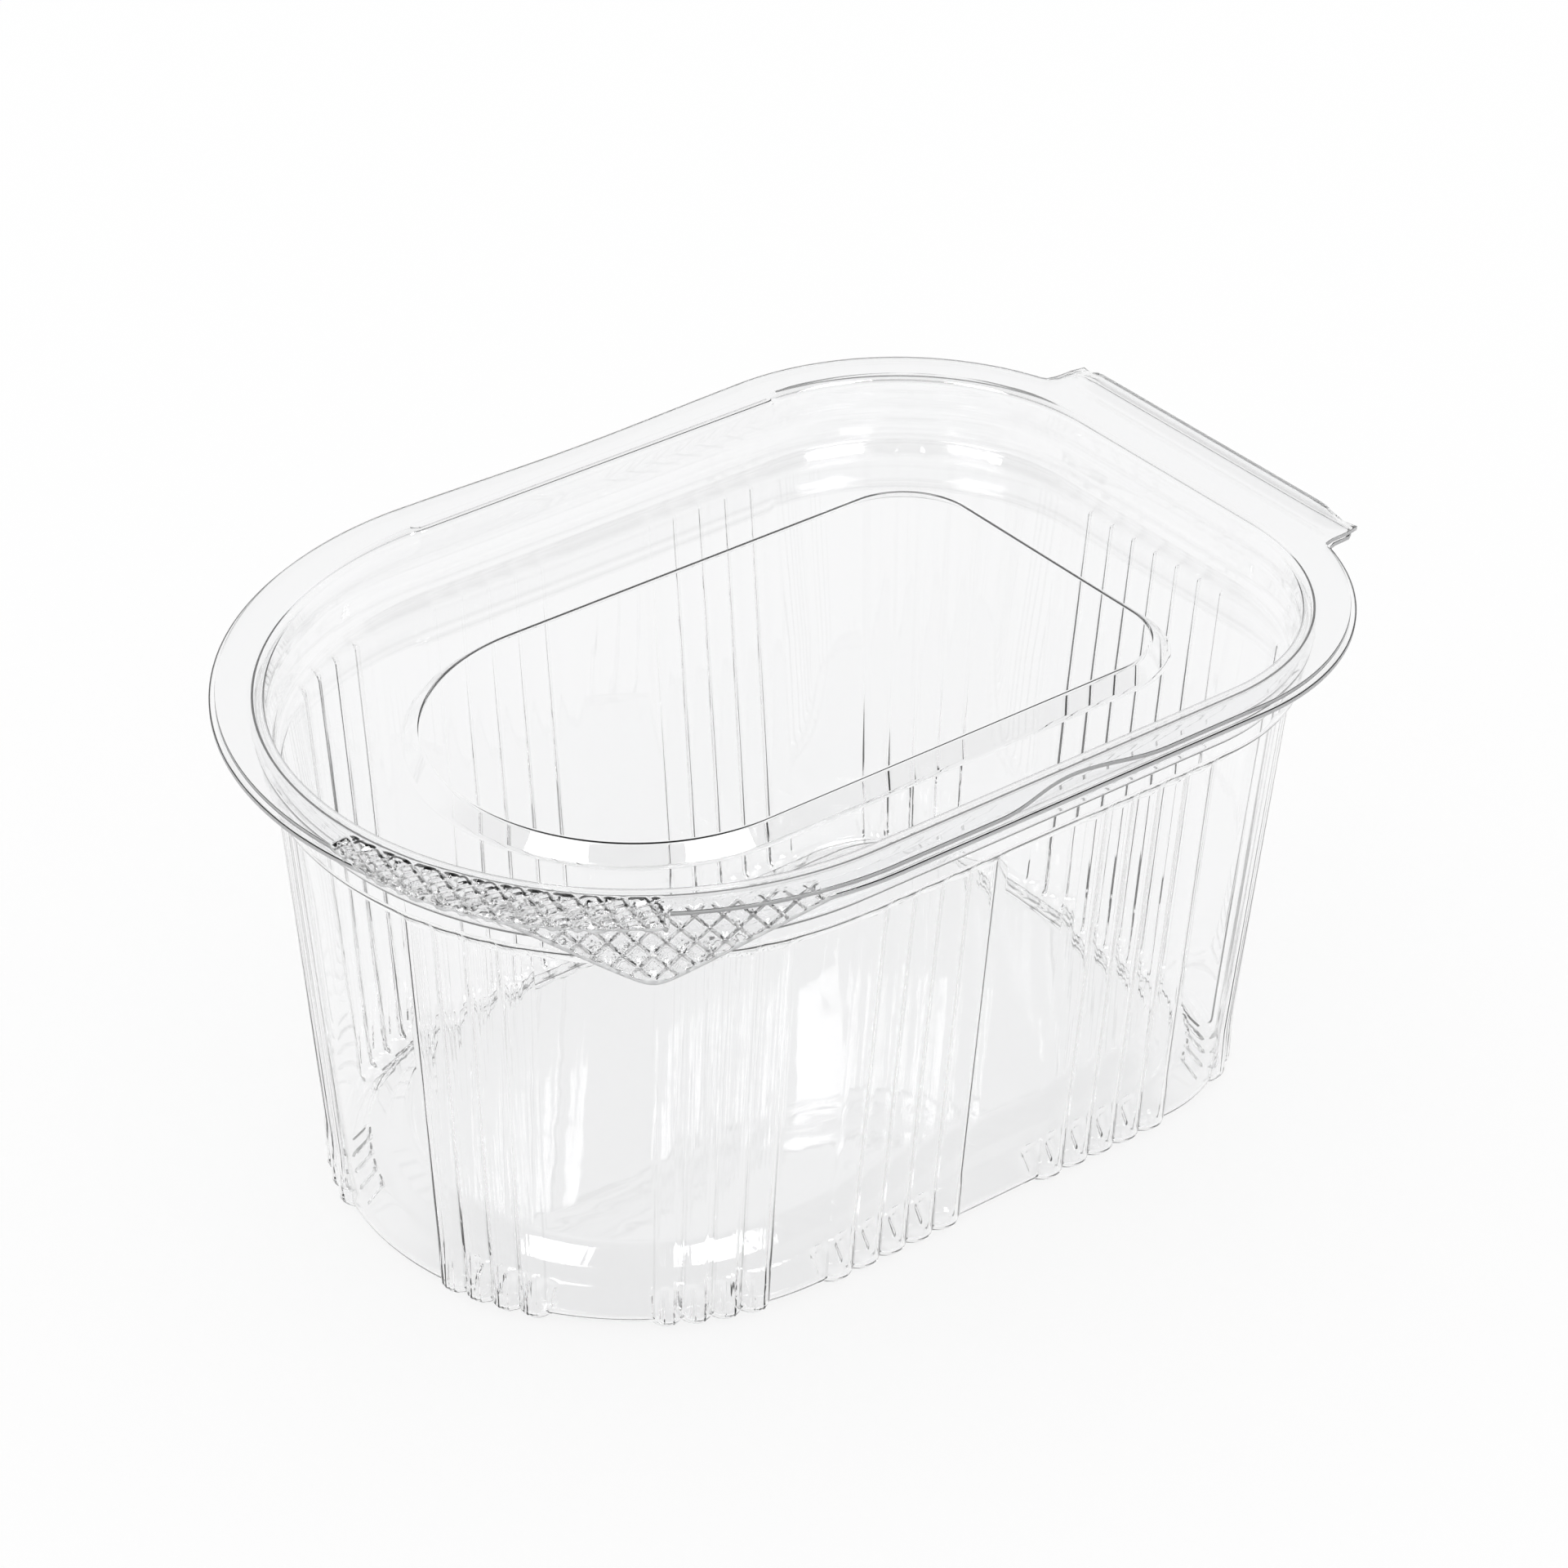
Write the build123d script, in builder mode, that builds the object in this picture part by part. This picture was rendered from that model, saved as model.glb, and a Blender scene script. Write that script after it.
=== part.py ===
"""Clear hinged-lid portion tub, thermoformed from one plastic sheet (millimetres).

The frame: +Z up, +Y towards the living hinge, +X to the right seen from the front.
The origin is the middle of the outline, on the surface that the tub stands on.
The lid is drawn closed. Lid and tub meet only at the fold of the hinge.
"""
import os
from math import atan, cos, degrees, radians, sin, tan

from build123d import *

# Sheet and clearances
sheet = 0.5
flange_gap = 0.2
plug_gap = 0.4
fold_gap = 0.5

# D-shaped plan: a half circle in front, straight sides, a flat rear end with round corners.
# A width is the distance from the middle line to the side, and every outline is an offset of the others.
straight = 54.7
corner_x = 16.0

# Flanges and rim: the lid's flange, the tub's lip beyond it, and the land from the edge in to the rim
lid_flange_width = 49.3
flange_lip = 0.7
flange_width = lid_flange_width + flange_lip
flange_land = 5.6
rim_width = lid_flange_width - flange_land
rim_round = 1.2

# Tub: outer widths, from the rim down to the foot, and heights, from the foot up to the flange
ledge_over = 0.5
ledge_width = rim_width + ledge_over
ledge_step = 1.6
wall_width = ledge_width - ledge_step
wall_taper = 5.2
heel_width = wall_width - wall_taper
heel_bevel = 1.0
foot_width = heel_width - heel_bevel
heel_height = 1.0
ledge_height = 58.0
collar_height = 8.9
tub_height = ledge_height + collar_height

# Snap bead, pressed into the tub's collar and the lid's plug at one height
bead_rise = 4.7
bead_height = ledge_height + bead_rise
bead_half = 0.9
bead_depth = 0.5

# Push-up floor, in two slopes
land = 1.2
floor_edge = foot_width - land
floor_run = 3.6
floor_slope_width = floor_edge - floor_run
floor_slope_height = 2.6
floor_top_run = 3.8
floor_width = floor_slope_width - floor_top_run
floor_top_rise = 2.6
floor_height = floor_slope_height + floor_top_rise

# Wall ribs, half-round beads pressed outwards in groups.
# They turn under the foot, and end as strips on the floor's slope.
rib_width = 3.5
rib_gap = 0.65
rib_pitch = rib_width + rib_gap
rib_proud = 1.1
rib_sides = 3
strip_proud = 0.6
side_group_count = 5
side_group_margin = 0.325
side_group_inset = side_group_count * rib_pitch / 2 + side_group_margin
rear_group_count = int(2 * corner_x // rib_pitch)
round_group_count = 4
front_group_angles = (25.5, 67.0)
corner_group_angle = 45.0

# Lid: plug, and the island that stands in its recess
plug_taper = 0.9
plug_foot_width = rim_width - plug_taper
ring = 15.1
island_foot_width = plug_foot_width - ring
island_bevel = 2.1
island_top_width = island_foot_width - island_bevel
island_rise = 1.95

# Waist on the left side of both flanges, and a finger notch on the right side of the lid
waist_length = 60.0
waist_depth = 0.7
notch_length = 21.0
notch_depth = 2.3
notch_run = 8.0
notch_round = 16.0

# Opening tabs at the front right corner, bent away from each other
tab_half_span = 24.0
lid_tab_angle = 33.0
lid_tab_out = 4.9
lid_tab_reach = lid_flange_width + lid_tab_out
lid_tab_end_out = 3.3
lid_tab_end_reach = lid_flange_width + lid_tab_end_out
lid_tab_rise = 7.0
tub_tab_angle = 55.0
tub_tab_out = 9.0
tub_tab_reach = flange_width + tub_tab_out
tub_tab_round = 5.0
tub_tab_drop = 11.0

# Living hinge
hinge_width = 52.0
hinge_out = 9.8
crease_out = 6.1
crest_out = 8.7
crest_rise = 2.3
crest_slant = 4.0
hinge_round = 0.8
hinge_ease = 1.2

# Derived places
fold_out = straight + rim_width - corner_x + hinge_out
front_y = (flange_width - sheet / 2 - fold_out) / 2
side_y = front_y + straight
rim_y = side_y + rim_width - corner_x
fold_y = rim_y + hinge_out
lid_under = tub_height + flange_gap
lid_top = lid_under + sheet
plug_under = ledge_height + sheet + flange_gap
plug_width = rim_width + sheet
neck_width = plug_width + plug_gap
neck_round = rim_round - sheet - flange_gap
fold_z = tub_height - sheet / 2
island_height = plug_under + sheet + island_rise
island_inset = sheet * tan(radians(22.5))
mouth_inside_width = wall_width + sheet * (wall_width - heel_width) / (ledge_height - heel_height)
foot_inside_width = foot_width + sheet * (heel_width - foot_width) / heel_height
floor_steps = [
    (floor_edge, 0),
    (floor_slope_width, floor_slope_height),
    (floor_width, floor_height),
]


def plan(width, height):
    """D-shaped face of one offset, at one height."""
    corner_radius = width - corner_x
    rear_y = side_y + corner_radius
    with BuildSketch(Plane.XY.offset(height)) as outline:
        with BuildLine():
            CenterArc((0, front_y), width, 180, 180)
            Line((width, front_y), (width, side_y))
            CenterArc((corner_x, side_y), corner_radius, 0, 90)
            Line((corner_x, rear_y), (-corner_x, rear_y))
            CenterArc((-corner_x, side_y), corner_radius, 90, 90)
            Line((-width, side_y), (-width, front_y))
        make_face()
    return outline.sketch


def group(middle, count, pitch):
    """Places of a group of ribs, spread about its middle."""
    return [middle + (i - (count - 1) / 2) * pitch for i in range(count)]


def rib_section(proud):
    """Points across a rib, each its distance along the wall and out of it: an arc in a few flat sides."""
    radius = (rib_width**2 / 4 + proud**2) / (2 * proud)
    half_turn = 2 * atan(2 * proud / rib_width)
    turns = [half_turn * (2 * i / rib_sides - 1) for i in range(rib_sides + 1)]
    return [(radius * sin(turn), radius * (cos(turn) - 1) + proud) for turn in turns]


def round_stretch(center, radius, top_radius, start, end, angles, proud):
    """Lines of an outline: an arc of the plan, with a rib at each of the angles."""
    x, y = center
    at = start
    lines = []
    for angle in angles:
        rib = [(angle + degrees(along / top_radius), radius + out) for along, out in rib_section(proud)]
        points = [(x + r * cos(radians(a)), y + r * sin(radians(a))) for a, r in rib]
        lines.append(CenterArc(center, radius, at, rib[0][0] - at, mode=Mode.PRIVATE))
        lines.append(Polyline(*points, mode=Mode.PRIVATE))
        at = rib[-1][0]
    lines.append(CenterArc(center, radius, at, end - at, mode=Mode.PRIVATE))
    return lines


def straight_stretch(start, end, offsets, proud):
    """Lines of an outline: a straight side, with ribs on its right hand at distances from its start."""
    start = Vector(*start)
    along = (Vector(*end) - start).normalized()
    outward = Vector(along.Y, -along.X)
    points = [start]
    for offset in offsets:
        points += [start + along * (offset + step) + outward * out for step, out in rib_section(proud)]
    return [Polyline(*points, end, mode=Mode.PRIVATE)]


def ribbed_plan(width, height, inset=0, proud=rib_proud):
    """D-shaped face with the wall's ribs, moved in by a wall where the inside is drawn."""
    width -= inset
    corner = width - corner_x
    corner_top = wall_width - corner_x
    rear_y = side_y + corner
    front_pitch = degrees(rib_pitch / wall_width)
    corner_pitch = degrees(rib_pitch / corner_top)
    front_right = []
    for angle in front_group_angles:
        front_right += group(angle - 90, round_group_count, front_pitch)
    front = [-180 - angle for angle in reversed(front_right)] + front_right
    right_corner = group(corner_group_angle, round_group_count, corner_pitch)
    left_corner = [180 - angle for angle in reversed(right_corner)]
    side = group(side_group_inset, side_group_count, rib_pitch)
    side += group(straight - side_group_inset, side_group_count, rib_pitch)
    rear = group(corner_x, rear_group_count, rib_pitch)
    with BuildSketch(Plane.XY.offset(height)) as outline:
        with BuildLine():
            lines = round_stretch((0, front_y), width, wall_width, -180, 0, front, proud)
            lines += straight_stretch((width, front_y), (width, side_y), side, proud)
            lines += round_stretch((corner_x, side_y), corner, corner_top, 0, 90, right_corner, proud)
            lines += straight_stretch((corner_x, rear_y), (-corner_x, rear_y), rear, proud)
            lines += round_stretch((-corner_x, side_y), corner, corner_top, 90, 180, left_corner, proud)
            lines += straight_stretch((-width, side_y), (-width, front_y), side, proud)
            add(lines)
        make_face()
    return outline.sketch


def layers(steps):
    """Plain outlines to loft through, from pairs of width and height."""
    return [plan(width, height) for width, height in steps]


def rounded_mouth(width, height, radius):
    """Steps up to the mouth of a wall, where it rounds over outwards into the flange."""
    middle = radius * (1 - cos(radians(45)))
    return [(width, height - radius), (width + middle, height - middle), (width + radius, height)]


def beaded_wall(low, high):
    """Steps of a wall from low to high, each a width and height, with the snap bead pressed out."""
    low_width, low_height = low
    high_width, high_height = high
    slope = (high_width - low_width) / (high_height - low_height)

    def wall_at(height):
        return low_width + slope * (height - low_height)

    bead = [(bead_height - 2 * bead_half, 0), (bead_height, bead_depth), (bead_height + 2 * bead_half, 0)]
    return [low] + [(wall_at(height) + depth, height) for height, depth in bead] + [high]


def waist(width):
    """Shallow curve that both flanges are cut to on the left side."""
    radius = (waist_length**2 / 4 + waist_depth**2) / (2 * waist_depth)
    with Locations((-width - radius + waist_depth, front_y + straight / 2)):
        Circle(radius, mode=Mode.SUBTRACT)


def finger_notch(width):
    """Shallow bay cut into the lid's flange on the right side, with rounded corners."""
    middle = front_y + straight / 2
    half = notch_length / 2
    bottom = width - notch_depth
    outside = width + notch_depth
    Polygon(
        (bottom, middle - half + notch_run),
        (outside, middle - half - notch_run),
        (outside, middle + half + notch_run),
        (bottom, middle + half - notch_run),
        align=None,
        mode=Mode.SUBTRACT,
    )
    corners = vertices().filter_by(lambda corner: corner.X > 0 and abs(corner.Y - middle) < half + sheet)
    fillet(corners, notch_round)


def hinge_strip(reach):
    """Strip from the rim out to the hinge, its sides eased into the flange that is being drawn.

    It is drawn too long, so that the easing has room beyond any flange, and then trimmed to its reach.
    """
    overlong = flange_land + hinge_out
    with Locations((0, rim_y + overlong / 2)):
        Rectangle(hinge_width, overlong)
    sides = vertices().filter_by(lambda corner: abs(abs(corner.X) - hinge_width / 2) < 0.001)
    fillet(sides.sort_by(Axis.Y)[:2], hinge_ease)
    with Locations((0, rim_y + (reach + overlong) / 2)):
        Rectangle(hinge_width, overlong - reach, mode=Mode.SUBTRACT)


def tab_plane(width, angle, height, tilt):
    """Plane of a bent tab: X along its bend, Y outwards, tilted up about the bend."""
    turn = radians(angle)
    chord = width * cos(radians(tab_half_span))
    bend = Vector(chord * sin(turn), front_y - chord * cos(turn), height)
    along = Vector(cos(turn), sin(turn), 0)
    outward = Vector(sin(turn), -cos(turn), 0)
    up = Vector(0, 0, 1) * cos(radians(tilt)) - outward * sin(radians(tilt))
    return Plane(origin=bend, x_dir=-along, z_dir=up)


def tab_point(width, turn, reach):
    """Point of a tab in its own plane, from its turn off the tab's middle and its reach."""
    chord = width * cos(radians(tab_half_span))
    return (-reach * sin(radians(turn)), reach * cos(radians(turn)) - chord)


os.makedirs("parts", exist_ok=True)

# Tub: flange with tab and hinge strip, collar with snap groove, ledge, ribbed wall, push-up floor
with BuildPart() as tub:
    collar = beaded_wall((ledge_width, ledge_height), (neck_width + sheet, tub_height))
    loft(layers(collar), ruled=True)

    with BuildSketch(Plane.XY.offset(tub_height - sheet)):
        add(plan(flange_width, 0))
        hinge_strip(hinge_out - fold_gap)
        waist(flange_width)
    extrude(amount=sheet)
    tub_bend = tab_plane(flange_width, tub_tab_angle, tub_height, -tub_tab_drop)
    with BuildSketch(Plane(tub_bend.origin, tub_bend.x_dir, (0, 0, 1))):
        Rectangle(2 * flange_width, flange_width, align=(Align.CENTER, Align.MIN))
    extrude(amount=-sheet, mode=Mode.SUBTRACT)
    with BuildSketch(tub_bend) as tub_tab:
        with BuildLine():
            Polyline(
                tab_point(flange_width, -tab_half_span, flange_width),
                tab_point(flange_width, 0, tub_tab_reach),
                tab_point(flange_width, tab_half_span, flange_width),
                close=True,
            )
        make_face()
        fillet(tub_tab.vertices().sort_by(Axis.Y)[-1], tub_tab_round)
    extrude(amount=-sheet)

    neck = beaded_wall((ledge_width - sheet, ledge_height + sheet), (neck_width, tub_height - neck_round))
    neck.append((neck_width + neck_round, tub_height))
    loft(layers(neck), ruled=True, mode=Mode.SUBTRACT)

    outside = [(foot_width, 0), (heel_width, heel_height), (wall_width, ledge_height)]
    loft([ribbed_plan(width, height) for width, height in outside], ruled=True)
    inside = [
        (foot_inside_width, sheet),
        (heel_width, heel_height),
        (mouth_inside_width, ledge_height + sheet),
    ]
    loft([ribbed_plan(width, height, sheet) for width, height in inside], ruled=True, mode=Mode.SUBTRACT)

    loft(layers([(width, height + sheet) for width, height in floor_steps]), ruled=True)
    strips = [ribbed_plan(width, height, proud=-strip_proud) for width, height in floor_steps[:2]]
    under_strips = loft(strips, ruled=True, mode=Mode.PRIVATE)
    under_floor = loft(layers(floor_steps[1:]), ruled=True, mode=Mode.PRIVATE)
    add([under_strips, under_floor], mode=Mode.SUBTRACT)

tub.part.label = "tub"
export_step(tub.part, "parts/tub.step")

# Lid: plug with snap bead, recessed ring, raised island, flange with tab and hinge crest
with BuildPart() as lid:
    plug = beaded_wall((plug_foot_width, plug_under), (plug_width, lid_under))
    loft(layers(plug), ruled=True)

    with BuildSketch(Plane.XY.offset(lid_under)):
        add(plan(lid_flange_width, 0))
        hinge_strip(crease_out - hinge_round)
        waist(lid_flange_width)
        finger_notch(lid_flange_width)
    extrude(amount=sheet)
    lid_bend = tab_plane(lid_flange_width, lid_tab_angle, lid_under, lid_tab_rise)
    with BuildSketch(Plane(lid_bend.origin, lid_bend.x_dir, (0, 0, 1))):
        Rectangle(2 * lid_flange_width, lid_flange_width, align=(Align.CENTER, Align.MIN))
    extrude(amount=sheet, mode=Mode.SUBTRACT)
    with BuildSketch(lid_bend):
        tab_start = tab_point(lid_flange_width, -tab_half_span, lid_flange_width)
        tab_end = tab_point(lid_flange_width, tab_half_span, lid_flange_width)
        tab_corner = tab_point(lid_flange_width, tab_half_span, lid_tab_end_reach)
        with BuildLine():
            ThreePointArc(tab_start, tab_point(lid_flange_width, 0, lid_tab_reach), tab_corner)
            Polyline(tab_corner, tab_end, tab_start)
        make_face()
    extrude(amount=sheet)

    with BuildSketch(Plane.YZ):
        with BuildLine() as crest:
            FilletPolyline(
                (rim_y + rim_round, lid_under + sheet / 2),
                (rim_y + crease_out, lid_under + sheet / 2),
                (rim_y + crest_out, lid_under + sheet / 2 + crest_rise),
                (fold_y, fold_z + fold_gap),
                radius=hinge_round,
            )
        trace(crest.line, line_width=sheet)
    extrude(amount=hinge_width / 2, both=True)
    with BuildSketch(Plane.XZ.offset(-rim_y)):
        Polygon(
            (hinge_width / 2, lid_top),
            (hinge_width / 2 - 2 * crest_slant, lid_top + 2 * crest_rise),
            (hinge_width / 2 + crest_slant, lid_top + 2 * crest_rise),
            (hinge_width / 2 + crest_slant, lid_top),
            align=None,
        )
        mirror(about=Plane.YZ)
    extrude(amount=-hinge_out - sheet, mode=Mode.SUBTRACT)

    mouth = rounded_mouth(rim_width, lid_top, rim_round)
    dish = beaded_wall((plug_foot_width - sheet, plug_under + sheet), mouth[0]) + mouth[1:]
    loft(layers(dish), ruled=True, mode=Mode.SUBTRACT)

    island = [(island_foot_width, plug_under + sheet), (island_top_width, island_height)]
    loft(layers(island), ruled=True)
    hollow = [(width - island_inset, height - sheet) for width, height in island]
    loft(layers(hollow), ruled=True, mode=Mode.SUBTRACT)

lid.part.label = "lid"
export_step(lid.part, "parts/lid.step")
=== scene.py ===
# %% [markdown]
# # A clear portion tub with a hinged lid
# The real tub is one thin sheet of clear plastic, pressed into a mould while it is hot. Tub and lid are
# two dishes of that sheet, joined at the back by a fold that works as a hinge. This lesson draws both
# dishes as open sheets, gives them thickness, and lights them like a studio photo. The CAD model is
# loaded first, because the tub's height comes from it, and each shell stands in for one of its parts.
# The CAD model is loaded first, because every piece here has to stay in its place and its box.

# %% Load the frame
from math import atan, ceil, cos, degrees, hypot, pi, radians, sin, tan

import bmesh
import bpy
from mathutils import Matrix, Vector


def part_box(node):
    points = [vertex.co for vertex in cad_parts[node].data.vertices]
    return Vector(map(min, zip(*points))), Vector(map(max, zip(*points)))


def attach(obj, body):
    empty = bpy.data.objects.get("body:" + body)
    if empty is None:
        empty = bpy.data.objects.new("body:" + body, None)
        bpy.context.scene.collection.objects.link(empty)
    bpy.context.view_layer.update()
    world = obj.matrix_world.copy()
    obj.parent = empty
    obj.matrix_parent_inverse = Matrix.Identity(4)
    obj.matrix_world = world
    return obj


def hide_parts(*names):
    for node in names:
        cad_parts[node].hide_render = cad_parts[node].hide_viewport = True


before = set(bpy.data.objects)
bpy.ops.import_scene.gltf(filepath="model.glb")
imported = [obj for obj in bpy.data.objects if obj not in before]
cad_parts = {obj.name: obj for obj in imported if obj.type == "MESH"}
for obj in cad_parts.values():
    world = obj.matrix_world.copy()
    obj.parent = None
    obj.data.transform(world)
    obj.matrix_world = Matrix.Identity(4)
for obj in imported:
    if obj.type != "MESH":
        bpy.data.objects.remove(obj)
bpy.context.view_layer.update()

# %% [markdown]
# ## The plan that every outline shares
# Seen from above, the tub is a letter D: a half circle in front, two straight sides and a flat rear end
# with round corners. Foot, wall, rim and flange are all offsets of that one outline. Each could be drawn
# by itself, but then they would drift apart, so one size says where a ring lies: its width, the distance
# from the middle line to the side. All sizes are in millimetres until a mesh is finished, because they
# are easier to read that way.

# %% Sizes of the plan and the sheet
mm = 0.001
sheet = 0.5
straight = 54.7
corner_x = 16.0
lid_flange_width = 49.3
flange_width = 50.0
flange_gap = 0.2
rim_width = 43.7
hinge_out = 9.8
front_y = (flange_width - sheet / 2 - straight - rim_width + corner_x - hinge_out) / 2
side_y = front_y + straight
rim_y = side_y + rim_width - corner_x
tub_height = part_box("tub")[1].z / mm
lid_top = tub_height + flange_gap + sheet
print("front centre, side end and rim at y", round(front_y, 2), round(side_y, 2), round(rim_y, 2))


# %% Directions in the plan
def outward(point):
    """Direction out of the plan at a point, and the point's width."""
    if point.y < front_y:
        away = Vector((point.x, point.y - front_y, 0))
        return away.normalized(), away.length
    side = 1 if point.x > 0 else -1
    if point.y < side_y:
        return Vector((side, 0, 0)), abs(point.x)
    if abs(point.x) < corner_x:
        return Vector((0, 1, 0)), point.y - side_y + corner_x
    away = Vector((point.x - side * corner_x, point.y - side_y, 0))
    return away.normalized(), away.length + corner_x


def front_angle(point):
    """Angle round the front half circle in degrees, from the foremost point towards the right side."""
    if point.y > front_y:
        return 90 if point.x > 0 else -90
    return -degrees(Vector((0, -1)).angle_signed(Vector((point.x, point.y - front_y))))


print("the half circle ends on the right at", round(front_angle(Vector((rim_width, front_y, 0)))), "degrees")

# %% [markdown]
# ## Ribs in the outline
# Groups of half-round beads stiffen the wall. They could be tubes set against it, but on the real sheet
# they are only waves of the wall itself, so here they are waves of the outline. The vertices of a rib are
# set closer together and remember how far they stand out, from 0 at the rib's foot to 1 at its crown.

# %% Section and places of the ribs
rib_width = 3.95
rib_pitch = 4.15
rib_proud = 1.1
rib_steps = 8
wall_width = 42.6
front_unit = degrees(1 / wall_width)
corner_unit = degrees(1 / (wall_width - corner_x))


def rib_section():
    """Places across a rib along the wall, each with its share of the full height."""
    radius = (rib_width**2 / 4 + rib_proud**2) / (2 * rib_proud)
    half_turn = 2 * atan(2 * rib_proud / rib_width)
    turns = [half_turn * (2 * i / rib_steps - 1) for i in range(rib_steps + 1)]
    return [(radius * sin(turn), (radius * (cos(turn) - 1) + rib_proud) / rib_proud) for turn in turns]


def group(middle, count, pitch):
    """Places of a group of ribs about its middle."""
    return [middle + (i - (count - 1) / 2) * pitch for i in range(count)]


print("a rib has", len(rib_section()), "points and a pitch of", round(rib_pitch * front_unit, 1), "degrees")

# %% [markdown]
# ## An outline that grows by spins
# A sheet starts as one vertex. Spinning it about the centre of the half circle draws the front, and the
# same operator with no angle and a small shift draws a straight side. A curve object could draw the same
# line, but here the ribs decide where each vertex goes, and a spin takes its steps from them.

# %% Grow a wire
side_step, corner_step, rear_step = 1.5, 1.2, 1.0
step_slack = 0.001


def grow(bm, vert, amount, steps, centre):
    """Extend a wire from its end: an arc of some degrees about a centre, or a run along a vector."""
    up = (0, 0, 1)
    if centre is None:
        made = bmesh.ops.spin(bm, geom=[vert], angle=0, steps=steps, dvec=amount / steps, axis=up)
    else:
        made = bmesh.ops.spin(bm, geom=[vert], angle=radians(amount), steps=steps, cent=centre, axis=up)
    return [item for item in made["geom_last"] if isinstance(item, bmesh.types.BMVert)][0]


def stretch(bm, vert, length, largest_step, ribs, unit, along=None, centre=None):
    """One stretch of an outline, with a rib at each of the places given.

    Places and length are in degrees on an arc and in millimetres on a straight run.
    Unit is what a millimetre of the wall comes to in that measure.
    """
    bead = bm.verts.layers.float["bead"]
    stops = []
    for place in ribs:
        stops += [(place + step * unit, share) for step, share in rib_section()]
    at = 0
    for place, share in stops + [(length, 0)]:
        gap = place - at
        amount = gap if along is None else along * gap
        vert = grow(bm, vert, amount, max(1, ceil(gap / largest_step - step_slack)), centre)
        vert[bead] = share
        at = place
    return vert


print("plain stretches take steps of", side_step, "mm, corners of", corner_step, "degrees")

# %% Close the outline
merge_gap = 0.01


def outline(bm, width, front_ribs, side_ribs, corner_ribs, rear_ribs, front_step):
    """The closed D-shaped wire of one width, counter-clockwise from the left end of the half circle."""
    first = bm.verts.new((-width, front_y, 0))
    last = stretch(bm, first, 180, front_step, front_ribs, front_unit, centre=(0, front_y, 0))
    last = stretch(bm, last, straight, side_step, side_ribs, 1, along=Vector((0, 1, 0)))
    last = stretch(bm, last, 90, corner_step, corner_ribs, corner_unit, centre=(corner_x, side_y, 0))
    last = stretch(bm, last, 2 * corner_x, rear_step, rear_ribs, 1, along=Vector((-1, 0, 0)))
    last = stretch(bm, last, 90, corner_step, corner_ribs, corner_unit, centre=(-corner_x, side_y, 0))
    last = stretch(bm, last, straight, side_step, side_ribs, 1, along=Vector((0, -1, 0)))
    bmesh.ops.remove_doubles(bm, verts=[first, last], dist=merge_gap)


rim_length = pi * (2 * rim_width - corner_x) + 2 * straight + 2 * corner_x
print("the rim is", round(rim_length), "mm long")

# %% [markdown]
# ## Rings, one after another
# A dish could be lofted between whole outlines, but then the ribs would have to match by luck. Here it is
# drawn ring by ring: the open edge is extruded, and each new vertex moves to the width and height that
# its ring should have. Where a ring isn't even, as at the tabs and the hinge, width and height are small
# functions of the place. Extruding copies each vertex's share of a rib, and each vertex keeps its ring's
# number, to find the ring later.

# %% Helpers that draw a dish
def settle(vert, width, height):
    """Move a vertex out or in to a width, and to a height."""
    direction, now = outward(vert.co)
    vert.co += direction * (width - now)
    vert.co.z = height


def start_sheet(width, height, front_step, front_ribs=(), side_ribs=(), corner_ribs=(), rear_ribs=()):
    """A flat face at a height, whose vertices remember their ring and their share of a rib."""
    bm = bmesh.new()
    bm.verts.layers.float.new("bead")
    bm.verts.layers.int.new("ring")
    outline(bm, width, front_ribs, side_ribs, corner_ribs, rear_ribs, front_step)
    for vert in bm.verts:
        vert.co.z = height
    bmesh.ops.contextual_create(bm, geom=list(bm.edges))
    print("a sheet starts with an outline of", len(bm.verts), "vertices")
    return bm


def add_ring(bm, width, height, proud=0):
    """Extrude the open edge to the next ring. Width and height are numbers, or functions of a point."""
    bead = bm.verts.layers.float["bead"]
    ring = bm.verts.layers.int["ring"]
    border = [edge for edge in bm.edges if len(edge.link_faces) < 2]
    number = 1 + max(edge.verts[0][ring] for edge in border)
    border = [edge for edge in border if all(vert[ring] == number - 1 for vert in edge.verts)]
    made = bmesh.ops.extrude_edge_only(bm, edges=border)["geom"]
    for vert in made:
        if isinstance(vert, bmesh.types.BMVert):
            vert[ring] = number
            wide = width(vert.co) if callable(width) else width
            high = height(vert.co) if callable(height) else height
            settle(vert, wide + proud * vert[bead], high)
    return number


def round_ring(bm, number, radius, segments):
    """Round the sheet over along one ring."""
    ring = bm.verts.layers.int["ring"]
    edges = [edge for edge in bm.edges if all(vert[ring] == number for vert in edge.verts)]
    bmesh.ops.bevel(
        bm, geom=edges, offset=radius, offset_type="OFFSET", segments=segments,
        profile=0.5, affect="EDGES", material=-1, clamp_overlap=True,
    )


# %% [markdown]
# ## From a sheet to a shell
# The real wall has one thickness all over. A second set of faces could be drawn beside the first, but
# Solidify keeps the distance by itself and closes the border with a rim that takes its own material. It
# builds along the normals, so the faces are turned the right way first. Strong bends keep a crease, and
# all else is shaded smooth.

# %% Helpers that finish a sheet
crease_angle = 32
print("bends of", crease_angle, "degrees or more stay creased")


def add_object(name, data):
    """A new object in the scene."""
    made = bpy.data.objects.new(name, data)
    bpy.context.scene.collection.objects.link(made)
    return made


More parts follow.
